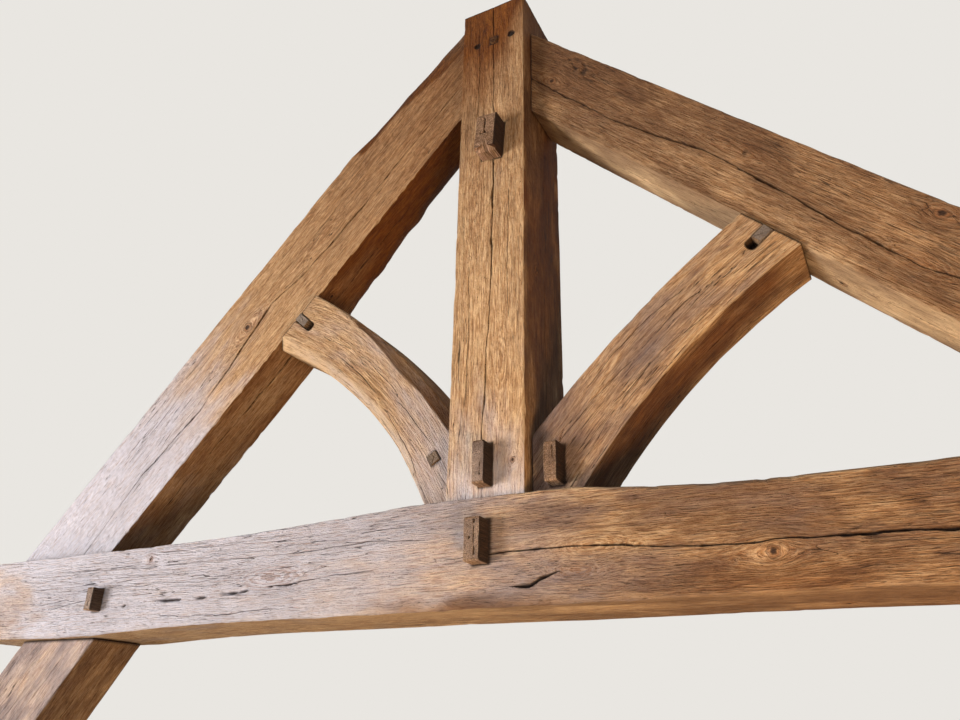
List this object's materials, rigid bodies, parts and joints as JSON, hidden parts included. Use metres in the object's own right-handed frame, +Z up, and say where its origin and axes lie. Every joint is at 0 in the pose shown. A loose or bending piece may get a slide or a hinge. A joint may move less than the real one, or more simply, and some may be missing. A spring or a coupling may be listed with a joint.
{
  "type": "wooden roof truss",
  "caption": "Hewn oak king-post roof truss: tie beam on raking legs, post, rafters and curved braces, joined by tenons, keys and pegs",
  "frame": {"origin": "floor level under the middle of the truss, midway between the two legs' soles and at the middle of the overall depth", "axes": "+X along the tie beam, +Y from the face side to the back, +Z up"},
  "size_m": [6.2444, 0.356, 3.8067],
  "materials": {
    "frame_oak": "hewn, weathered oak",
    "key_oak": "riven oak, darkened",
    "peg_oak": "oak end grain, dark"
  },
  "bodies": {
    "root": {"tie_beam": "frame_oak", "king_post": "frame_oak", "rafter_left": "frame_oak", "rafter_right": "frame_oak", "brace_left": "frame_oak", "brace_right": "frame_oak", "leg_left": "frame_oak", "leg_right": "frame_oak", "post_key_upper": "key_oak", "post_key_lower": "key_oak", "tie_key": "key_oak", "brace_key_right": "key_oak", "tie_end_key_left": "key_oak", "tie_end_key_right": "key_oak", "brace_head_peg_left": "peg_oak", "brace_head_peg_right": "peg_oak", "brace_foot_peg_left": "peg_oak", "apex_peg_left": "peg_oak", "apex_peg_middle": "peg_oak", "apex_peg_right": "peg_oak"}
  },
  "joints": []
}
